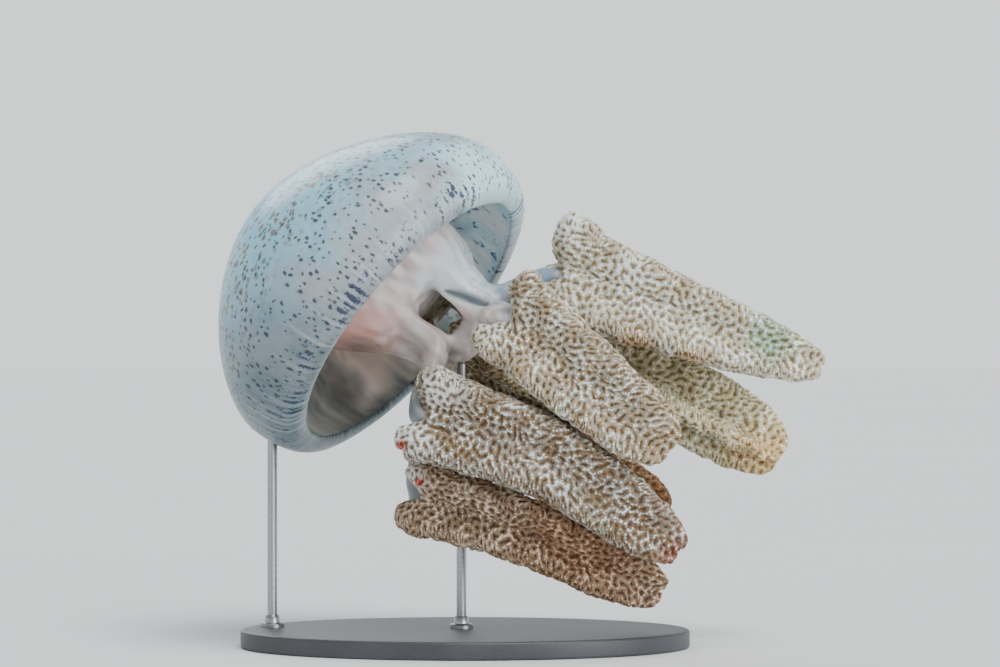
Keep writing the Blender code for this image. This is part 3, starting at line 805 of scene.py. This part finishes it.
def jelly_material():
    t = Tree("jelly")
    here = t.attribute("local", "Vector")
    down = t.attribute("down")
    height = t.add("SeparateXYZ", {"Vector": t.here()}).outputs["Z"]
    cloudy = t.noise(here, 22 * MM, 3)
    fine = t.noise(here, 5 * MM, 4, 0.6)
    stretched = t.scaled(here, ALONG_BELL)
    lines = t.noise(stretched, 2.4 * MM, 2)
    stripes = t.range(t.noise(stretched, 8 * MM, 3, 0.6), 0.36, 0.62)

    # The bell's ground: cyan at the crown, milky lower down, grey near the margin, painted shade low
    # down.
    shade = t.plus(down, t.range(cloudy, 0.3, 0.7, -0.10, 0.10))
    skin = t.ramp(shade, 0.02, 0.52, (60, 194, 236), (140, 194, 214))
    skin = t.ramp(shade, 0.50, 0.95, skin, (158, 162, 168))
    skin = t.mix(t.range(fine, 0.35, 0.70, 0, 0.16), skin, (196, 234, 246))
    # Painted shade: the outside turns grey towards the bottom, by height in the world.
    low = t.range(t.plus(height, t.range(cloudy, 0.3, 0.7, -0.012, 0.012)), 0.205, 0.115)
    skin = t.mix(t.times(low, 0.92), skin, (92, 112, 116))
    # Painted light: a pale cyan pool of light on the crown's upper right.
    skin = t.patch(skin, (196, 244, 255), (22, 238), 42, 0.75, cloudy)

    # Brown spots in loose groups on the crown, small dark dashes towards the margin.
    cells = t.attribute("cells", "Vector")
    moved = t.moved(t.moved(cells, 5 * MM, 3.0 * MM), 1.1 * MM, 1.1 * MM)
    crowd = t.range(t.noise(cells, 14 * MM, 1), 0.34, 0.60, 0.22, 0.80)
    brown = spot_mask(t, moved, 6.0 * MM, t.times(crowd, 1.3), 0.15, 0.33)
    brown = t.times(brown, t.range(down, 0.85, 0.50, 0.0, 0.85))
    crowd = t.times(crowd, t.range(down, 0.05, 0.6, 0.22, 0.85))
    dark = spot_mask(t, moved, 4.4 * MM, crowd, 0.14, 0.29)
    dark = t.times(dark, t.range(down, 1.04, 0.97, 0.0, 0.85))
    tan = t.ramp(t.noise(cells, 9 * MM), 0.45, 0.6, (132, 92, 48), (78, 86, 74))
    skin = t.mix(brown, skin, tan)
    skin = t.mix(dark, skin, t.ramp(down, 0.3, 0.7, (62, 84, 92), (30, 40, 62)))

    # One dark blue blot to a lappet, and pale lines between the lappets.
    ragged = t.plus(t.attribute("blots"), t.range(t.noise(here, 1.5 * MM, 3), 0.25, 0.75, -0.32, 0.30))
    navy = t.mix(t.noise(here, 3 * MM), (22, 28, 48), (56, 70, 98))
    skin = t.mix(t.times(t.range(ragged, 0.22, 0.52), 0.9), skin, navy)
    skin = t.mix(t.times(t.attribute("pleats"), 0.6), skin, (226, 232, 240))

    # The inside: pale with blue dashes near the margin, teal further in; both lightened as painted light.
    rim = t.mix(stripes, (250, 252, 254), (222, 238, 246))
    uneven = t.range(t.noise(here, 5 * MM, 1), 0.4, 0.6, -0.1, 0.1)
    dashes = t.range(t.plus(lines, uneven), 0.62, 0.70)
    rim = t.mix(t.times(dashes, 0.75), rim, (84, 108, 142))
    deep = t.mix(stripes, (210, 224, 228), (172, 196, 202))
    inside = t.ramp(t.attribute("height"), 0.75, 1.5, rim, deep)
    # Lower down in the world it is striped pale and grey, darkened in part as painted shade.
    broad = t.noise(stretched, 13 * MM, 2)
    dim = t.ramp(broad, 0.32, 0.66, (228, 226, 218), (138, 144, 142))
    pale = t.ramp(broad, 0.34, 0.62, (255, 240, 230), (230, 217, 208))
    # Painted light: a pale patch under the stalk lifts the shadow there.
    dim = t.patch(dim, pale, (-51, 145), 38, 0.95, broad)
    # Painted shade: two dark grey patches further down the inside's lower side.
    dim = t.patch(dim, (92, 98, 96), (-64, 129), 15, 0.6, broad)
    dim = t.patch(dim, (104, 114, 118), (-42, 118), 14, 0.5, broad)
    inside = t.ramp(height, 0.185, 0.150, inside, dim)
    skin = t.mix(t.attribute("inner"), skin, inside)

    # The stalk: pale folds, rose near the bell's lower side, blue where the first arm's flesh runs thin.
    folds = t.attribute("folds")
    flesh = t.ramp(folds, -1.5, 1.3, (188, 176, 174), (238, 230, 226))
    flesh = t.mix(t.range(t.noise(stretched, 9 * MM, 2), 0.45, 0.65, 0, 0.45), flesh, (230, 196, 188))
    flesh = t.patch(flesh, (226, 158, 142), (-52, 150), 26, 0.75, cloudy)
    flesh = t.patch(flesh, (206, 226, 236), (-4, 190), 26, 0.6, cloudy)
    grey = t.ramp(folds, -1.6, 1.6, (112, 120, 122), (142, 148, 148))
    flesh = t.mix(t.times(t.attribute("bare"), t.range(height, 0.160, 0.142)), flesh, grey)
    blue = t.mix(stripes, (126, 164, 182), (96, 138, 162))
    flesh = t.patch(flesh, blue, (31, 192), 36, 0.8, fine)
    # Painted shade: the slit between the first two arms' flesh is darkened.
    flesh = t.mix(t.times(t.attribute("slit"), 0.8), flesh, (80, 104, 114))
    # Painted shade: a duller patch low on the stalk, under the bell.
    flesh = t.patch(flesh, (148, 134, 128), (-20, 146), 26, 0.55, cloudy)
    # Painted shade: the flesh darkens along its lower edge, by the bell's lower side.
    lower_edge_shade = t.mix(stripes, (150, 134, 124), (108, 104, 98))
    flesh = t.patch(flesh, lower_edge_shade, (-50, 140), 20, 0.8, cloudy)
    olive = t.ramp(t.noise(here, 2.2 * MM, 3, 0.6), 0.38, 0.62, (96, 76, 48), (166, 156, 122))
    flesh = t.mix(t.attribute("window"), flesh, olive)

    rough = t.range(t.noise(here, 3 * MM, 3), 0.3, 0.7, 0.26, 0.42)
    relief = t.plus(t.times(fine, 0.6), t.times(t.noise(here, 1.2 * MM, 2), 0.25))
    relief = t.plus(relief, t.times(lines, 0.5))
    t.set(Base_Color=t.mix(t.attribute("stalk"), skin, flesh), Roughness=rough)
    t.set(Normal=t.bump(relief, 0.5 * MM, 0.35), Coat_Weight=0.22, Coat_Roughness=0.16)
    t.set(Subsurface_Weight=0.85, Subsurface_Radius=(0.8, 0.95, 1.0), Subsurface_Scale=9 * MM)
    t.set(IOR=1.34, Specular_IOR_Level=0.3)
    return t.data


def spot_mask(t, where, spacing, share, low, high):
    """Soft round spots on a flat map, one to a cell at most. share is the part of the cells that have
    one, and low and high are the smallest and largest radius, in cells."""
    inputs = {"Vector": where, "Scale": 1 / spacing, "Randomness": 1.0}
    cells = t.add("TexVoronoi", inputs, voronoi_dimensions="2D")
    chances = t.add("SeparateColor", {"Color": cells.outputs["Color"]}).outputs
    edge = t.math("SUBTRACT", t.range(chances[1], 0.0, 1.0, low, high), cells.outputs["Distance"])
    soft = t.plus(t.range(edge, -0.20, 0.0, 0, 0.25), t.range(edge, -0.06, 0.07, 0, 0.75))
    return t.times(soft, t.math("LESS_THAN", chances[0], share))


# ---- the frilled arms


def rounded_end(distance, length, size):
    """1 further than this length from an end, falling smoothly to this size at the end itself."""
    near = np.minimum(1, distance / length)
    return size + (1 - size) * np.sqrt(1 - (1 - near) ** 2)


def wing_rings(line, angle, width, taper, lobe, overlap, rng):
    """One plump wing, rooted along the stem. Its edge is cut into rounded lobes that sway a little."""
    first = 0.0 if overlap else 0.10
    place = first + (1 - first) * (0.5 - 0.5 * np.cos(np.linspace(0, math.pi, 150)))
    middle, along, front, above = (x[:, None] for x in arm_frames(line, place))
    place = place[:, None]
    turn = math.radians(angle)
    outward = math.cos(turn) * front + math.sin(turn) * above
    across = np.cross(along, outward)
    part = (place - first) / (1 - first)
    size = rounded_end(part, ROOT_ROUNDING, 0.3) * rounded_end(1 - part, TIP_ROUNDING, 0.2)
    size = size * (1 + lobe * hill(place, LOBE_LENGTH))
    inner = 0.35 * stem_radius(place)
    full = width * MM * (1 - taper * place) * size + (stem_radius(place) - inner)
    half_depth = WING_THICKNESS / 2 * (1 - 0.25 * place) * np.minimum(size, 1)
    overhang = overlap * np.maximum(0, 1 - place / 0.25)
    # Clefts between the lobes.
    length = np.linalg.norm(np.diff(curve(line, np.linspace(0, 1, 60)), axis=0), axis=1).sum()
    at = rng.uniform(5, 9) * MM
    cleft = np.zeros(place.shape)
    while at < length - 4 * MM:
        depth = rng.uniform(0.35, 1.0)
        cleft = np.maximum(cleft, depth * hill(place * length - at, CLEFT_WIDTH))
        at += rng.uniform(8, 17) * MM
    cleft *= 0.35 + 0.65 * hill(place, 0.14)
    swing = place * length / (rng.uniform(17, 24) * MM) * 2 * math.pi
    sway = np.sin(swing + rng.uniform(0, 6)) * WING_SWAY * size
    wide, deep = np.cos(full_turn(72)), np.sin(full_turn(72))
    share = (1 + np.sign(wide) * np.abs(wide) ** WING_SQUARENESS) / 2
    depth = np.sign(deep) * np.abs(deep) ** WING_SQUARENESS
    out = inner + full * share * (1 - 0.15 * cleft * share**2)
    aside = half_depth * depth * (1 - 0.20 * cleft * share) + sway * share**2
    back = overhang * share**2
    return middle + outward * out[..., None] + across * aside[..., None] - along * back[..., None]


def core_rings(line):
    """The stem that the wings grow from, thick enough to fill the valleys between them."""
    place = 0.02 + 0.965 * (0.5 - 0.5 * np.cos(np.linspace(0, math.pi, 80)))
    middle, _, front, above = arm_frames(line, place)
    around = full_turn(32)[:, None]
    ring = front[:, None] * np.cos(around) + above[:, None] * np.sin(around)
    size = rounded_end(place, 0.10, 0.5) * rounded_end(1 - place, 0.12, 0.2)
    return middle[:, None] + ring * ((stem_radius(place) + CORE_FILLING) * size)[:, None, None]


def arm_places(points, line, wings):
    """For each point: place along the arm, how far out on its wing (0 to 1), and the wing's outward way
    and the arm's own way there."""
    stations = np.linspace(0, 1, 140)
    middle, along, front, above = arm_frames(line, stations)
    parts = np.array_split(points, 1 + len(points) // 20000)
    gaps = [((part[:, None] - middle) ** 2).sum(-1).argmin(1) for part in parts]
    nearest = np.concatenate(gaps)
    off = points - middle[nearest]
    forward = (off * front[nearest]).sum(1)
    upward = (off * above[nearest]).sum(1)
    angles = np.radians([wing[0] for wing in wings])
    apart = np.arctan2(upward, forward)[:, None] - angles
    wing = np.abs((apart + math.pi) % (2 * math.pi) - math.pi).argmin(1)
    turn = angles[wing][:, None]
    outward = np.cos(turn) * front[nearest] + np.sin(turn) * above[nearest]
    place = stations[nearest]
    _, widths, tapers, _ = np.array(wings)[wing].T
    reach = (off * outward).sum(1)
    out = (reach - stem_radius(place)) / (widths * MM * (1 - tapers * place))
    return place, np.clip(out, 0, 1), outward, along[nearest]


def pattern_of(net, noise, spacing, rounds, gain, bias):
    """Noise sharpened round after round into crests and hollows this far apart, about -1 to 1. A bias
    above 0 leaves the hollows shorter than the crests."""
    narrow = (spacing / 5.72) ** 2 / 2
    near = max(1, round(narrow / SPREAD_RATE))
    far = max(2, round(2.56 * narrow / SPREAD_RATE)) - near
    pattern = noise
    for _ in range(rounds):
        close = spread(net, pattern, SPREAD_RATE, near)
        band = close - spread(net, close, SPREAD_RATE, far)
        pattern = np.tanh(gain * band / band.std() + bias)
    return pattern


def folded(mesh, points, out, outward, along, seed):
    """The frills' crests (1) and hollows (0), with every value as common as any other: short branching
    hollows that run slantwise over a wing and straight out near its edge, with small beads between."""
    rng = np.random.default_rng(seed)
    normal = normals(mesh)
    swing = (0.7 + 0.5 * waves(points, 9 * MM, seed + 1)) * (1 - 0.6 * step(out, 0.5, 0.95))
    pull = outward * np.cos(swing)[:, None] + along * np.sin(swing)[:, None]
    pull -= (pull * normal).sum(1)[:, None] * normal
    pull = pull / np.maximum(np.linalg.norm(pull, axis=1), 0.3)[:, None]
    pull *= (0.25 + 0.40 * step(out, 0.45, 0.9))[:, None]
    net = net_of(mesh, points, pull)
    coarse = pattern_of(net, rng.normal(size=len(points)), FOLD_SPACING, 8, 1.5, 0.64)
    beads = pattern_of(net_of(mesh, points), rng.normal(size=len(points)), BEAD_SPACING, 2, 1.2, 0.0)
    soft = spread(net, coarse, SPREAD_RATE, 4)
    soft = (soft - soft.mean()) / soft.std() + 0.50 * beads + 0.25 * waves(points, 7 * MM, seed + 2)
    ridge = np.empty(len(soft))
    ridge[np.argsort(soft)] = np.linspace(0, 1, len(soft))
    return ridge


def build_arm(number, arm):
    rng = np.random.default_rng(100 + number)
    line, wings = arm_line(arm), WINGS[arm]
    shapes = [tube(core_rings(line))]
    for wing, overlap in zip(wings, (LOBE_OVERLAP, LOBE_OVERLAP, 0.0)):
        shapes.append(tube(wing_rings(line, *wing, overlap, rng)))
    mesh, net, points = remeshed(f"arm_{arm}_frill", shapes, FRILL_VOXEL, 5)
    unwrap(mesh)
    place, out, outward, along = arm_places(points, line, wings)
    # Soft swells, then the folds.
    swell = 0.55 * waves(points, 6.5 * MM, 300 + number) + 0.3 * waves(points, 3.6 * MM, 400 + number)
    points = points + normals(mesh) * (0.7 * MM * swell - 0.3 * MM)[:, None]
    points = eased(net, points, 2)
    move_to(mesh, points)
    ridge = folded(mesh, points, out, outward, along, 500 + number)
    depth = FOLD_DEPTH * (0.8 + 0.2 * waves(points, 8 * MM, 600 + number))
    rise = FOLD_RISE * (1 + 0.5 * step(out, 0.5, 0.95))
    points = points + normals(mesh) * (rise - depth * (1 - step(ridge, 0.05, 0.85)))[:, None]
    points = eased(net, points, 1, 0.35)
    move_to(mesh, points)
    mesh.shade_smooth()
    for name, values in {"ridge": ridge, "place": place, "out": out}.items():
        store(mesh, name, values)
    mesh.materials.append(frill_material(arm, number))
    piece = linked(f"arm_{arm}_frill", mesh)
    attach(piece, "root")
    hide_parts(*[f"arm_{arm}_wing_{k}" for k in (1, 2, 3)])


def frill_material(arm, number):
    """A thin pale net of crests on a tan ground with short brown hollows."""
    # The tones hold painted shade and light as well as the arm's own colour.
    ridge, tan, hollow, tip, edge = TONES_LIGHT_AND_SHADE[arm]
    t = Tree(f"frill_{arm}")
    offset = t.vector("ADD", t.here(), (0.1 * number, 0.0, 0.0))
    crest = t.attribute("ridge")
    broad = t.noise(offset, 16 * MM, 2)
    small = t.noise(offset, 1.1 * MM, 3, 0.65)
    ground = t.mix(t.range(t.noise(offset, 8 * MM, 2), 0.35, 0.65, 0, 0.18), tan, ridge)
    ground = t.mix(t.range(broad, 0.45, 0.70, 0, 0.25), ground, hollow)
    low = t.mix(t.range(small, 0.35, 0.75, 0, 0.4), hollow, tuple(int(0.6 * c) for c in hollow))
    bright = tuple(min(255, int(c * 1.08)) for c in ridge)
    high = t.ramp(t.noise(offset, 11 * MM, 2), 0.35, 0.7, ridge, bright)
    high = t.mix(t.range(t.attribute("out"), 0.55, 1.0, 0, 0.6), high, edge)
    beads = t.add("TexVoronoi", {"Vector": offset, "Scale": 1 / (1.1 * MM)}).outputs["Distance"]
    wavy = t.plus(crest, t.range(small, 0.25, 0.75, -0.13, 0.13))
    wavy = t.plus(wavy, t.range(beads, 0.1, 0.6, 0.05, -0.05))
    colour = t.ramp(wavy, 0.00, 0.36, low, ground)
    colour = t.ramp(wavy, 0.66, 0.94, colour, high)
    ends = t.plus(t.attribute("place"), t.range(broad, 0.3, 0.7, -0.08, 0.08))
    colour = t.mix(t.range(ends, 0.80, 1.0, 0, 0.5), colour, tip, "MULTIPLY")
    whiter = t.range(wavy, 0.1, 0.6, 0.06, 0.5)
    for middle, radius in PALE.get(arm, ()):
        colour = t.patch(colour, (232, 240, 236), middle, radius, whiter, broad)
    for middle, radius, tint, share in PATCHES.get(arm, ()):
        colour = t.patch(colour, tint, middle, radius, share, small, "MULTIPLY")
    relief = t.math("SUBTRACT", small, t.times(beads, 0.5))
    t.set(Base_Color=colour, Roughness=t.range(crest, 0.2, 0.9, 0.60, 0.40))
    t.set(Normal=t.bump(relief, 0.30 * MM, 0.5), IOR=1.36, Specular_IOR_Level=0.35)
    t.set(Subsurface_Weight=0.3, Subsurface_Radius=(1.0, 0.8, 0.6), Subsurface_Scale=1.2 * MM)
    return t.data


# Each arm's colours as screen values: the crests, the ground, the hollows, the end and the wings' edges
# Besides each arm's own colour: painted shade on the two lower front arms, painted light on the upper
# back.
TONES_LIGHT_AND_SHADE = {
    "top_front": ((232, 246, 248), (178, 168, 142), (118, 98, 70), (255, 238, 214), (244, 246, 236)),
    "upper_front": ((226, 236, 234), (154, 136, 106), (96, 74, 50), (255, 226, 200), (228, 228, 218)),
    "lower_front": ((206, 217, 215), (122, 102, 76), (82, 62, 42), (255, 208, 196), (214, 216, 206)),
    "bottom_front": ((222, 206, 186), (134, 110, 84), (78, 56, 40), (232, 214, 204), (190, 174, 152)),
    "bottom_back": ((150, 120, 88), (112, 84, 54), (70, 46, 28), (255, 220, 190), (176, 150, 120)),
    "lower_back": ((212, 208, 184), (146, 130, 94), (92, 72, 46), (255, 226, 196), (220, 214, 190)),
    "upper_back": ((240, 242, 222), (188, 178, 140), (126, 106, 72), (255, 222, 172), (246, 238, 210)),
    "top_back": ((214, 212, 192), (160, 144, 110), (96, 76, 50), (255, 226, 196), (226, 222, 206)),
}
# Tints on top of them: a middle (x, z) and a radius in millimetres, a tint to multiply by and its share
PATCHES = {
    "top_front": (
        ((150, 155), 18, (168, 230, 206), 0.6),
        ((82, 150), 14, (246, 192, 140), 0.6),
        ((110, 142), 13, (246, 196, 148), 0.6),
    ),
    "lower_front": (((-30, 104), 3.5, (255, 96, 72), 0.9), ((103, 48), 12, (255, 180, 176), 0.5)),
    # The bottom front arm's wide warm tint is its own reddish colour and painted shadow of the arm above.
    "bottom_front": (((-22, 85), 3.5, (255, 84, 64), 0.9), ((62, 66), 52, (232, 184, 150), 0.6)),
    "upper_back": (((146, 98), 18, (255, 204, 150), 0.4),),
}
# Whiter places near the roots: a middle and a radius
PALE = {
    "top_front": (((52, 214), 16), ((47, 220), 16), ((80, 190), 14)),
    "upper_front": (((14, 164), 14),),
    "lower_front": (((-28, 108), 16), ((-10, 132), 16)),
    "bottom_front": (((-28, 86), 12),),
}


# ---- the stand


def base_rings():
    """The base, from the middle of its underside over both rounded edges to the middle of its top."""
    turns = np.linspace(0, math.pi / 2, 7)
    section = [(0.0, 8 * MM)] + [(BEVEL * (1 - math.cos(a)), BEVEL * (1 - math.sin(a))) for a in turns]
    section += [(BASE_HEIGHT - height, inset) for height, inset in section[::-1]]
    long, wide = BASE_LENGTH / 2, BASE_WIDTH / 2
    return [level_ring(full_turn(240), long - inset, wide - inset, h) for h, inset in section]


def turned(name, rings, angle, material):
    """A piece of the stand, shaded smooth but for edges that turn by more than the angle."""
    mesh = mesh_of(name, *tube(np.array(rings)))
    mesh.shade_smooth()
    mesh.set_sharp_from_angle(angle=math.radians(angle))
    mesh.materials.append(material)
    return linked(name, mesh)


def build_stand():
    plate = turned("stand_base_plate", base_rings(), 40, paint_material())
    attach(plate, "root")
    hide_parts("stand_base")
    steel = steel_material()
    radius = ROD_DIAMETER / 2
    collar = [(r * MM, BASE_HEIGHT + rise * MM) for r, rise in COLLAR]
    for name, ((x, y), top) in RODS.items():
        bar = [(radius, BASE_HEIGHT + 6.1 * MM), (radius, top - 0.6 * MM)]
        section = collar + bar + [(radius - 0.5 * MM, top), (0.2 * MM, top)]
        rings = [level_ring(full_turn(48), r, r, height, x, y) for r, height in section]
        rod = turned(name + "_turned", rings, 35, steel)
        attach(rod, "root")
        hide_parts(name)


def paint_material():
    t = Tree("base_paint")
    here = t.here()
    grain = t.noise(here, 0.9 * MM, 3, 0.6)
    broad = t.noise(here, 40 * MM, 2)
    colour = t.ramp(broad, 0.3, 0.7, (52, 54, 58), (62, 64, 68))
    colour = t.mix(t.range(grain, 0.45, 0.75, 0, 0.3), colour, (84, 86, 90))
    t.set(Base_Color=colour, Roughness=t.range(grain, 0.3, 0.7, 0.38, 0.52))
    t.set(Normal=t.bump(grain, 0.15 * MM, 0.45))
    return t.data


def steel_material():
    t = Tree("brushed_steel")
    brush = t.noise(t.scaled(t.here(), (0.1, 0.1, 1.0)), 0.7 * MM, 2)
    colour = t.ramp(brush, 0.3, 0.7, (150, 152, 155), (162, 164, 166))
    t.set(Base_Color=colour, Metallic=1.0, Roughness=t.range(brush, 0.3, 0.7, 0.28, 0.33))
    t.set(Normal=t.bump(brush, 0.005 * MM, 0.05))
    return t.data


# ---- the studio


def build_studio():
    corners = np.array(((-1, -1, 0), (1, -1, 0), (1, 1, 0), (-1, 1, 0))) * FLOOR_REACH
    mesh = mesh_of("floor", corners, [(0, 1, 2, 3)])
    t = Tree("floor")
    colour = t.mix(t.noise(t.here(), 0.6, 2), (228, 230, 233), (232, 234, 236))
    t.set(Base_Color=colour, Roughness=0.9, Specular_IOR_Level=0.1)
    mesh.materials.append(t.data)
    linked("floor", mesh)

    # The sky is brighter low down, as the walls of a white studio are.
    t = Tree("studio", "worlds", "Background")
    height = t.add("SeparateXYZ", {"Vector": t.add("TexCoord").outputs["Generated"]}).outputs["Z"]
    t.set(Color=(0.92, 0.95, 0.97, 1.0), Strength=t.range(height, 0.10, 0.45, 1.33, 0.48))
    bpy.context.scene.world = t.data

    for name, (energy, colour, place) in LAMPS.items():
        lamp = bpy.data.lights.new(name, "SUN")
        lamp.energy = energy
        lamp.color = colour
        lamp.angle = math.radians(30)
        holder = linked(name, lamp)
        holder.location = place
        holder.rotation_euler = (Vector(LIT_POINT) - Vector(place)).to_track_quat("-Z", "Y").to_euler()

    camera = bpy.data.cameras.new("camera")
    camera.sensor_width = 36.0
    camera.lens = 108.0
    holder = linked("camera", camera)
    holder.location = CAMERA_PLACE
    holder.rotation_euler = (math.pi / 2, 0.0, 0.0)
    bpy.context.scene.camera = holder


build_studio()
build_jelly()
for number, arm in enumerate(LINES):
    build_arm(number, arm)
build_stand()
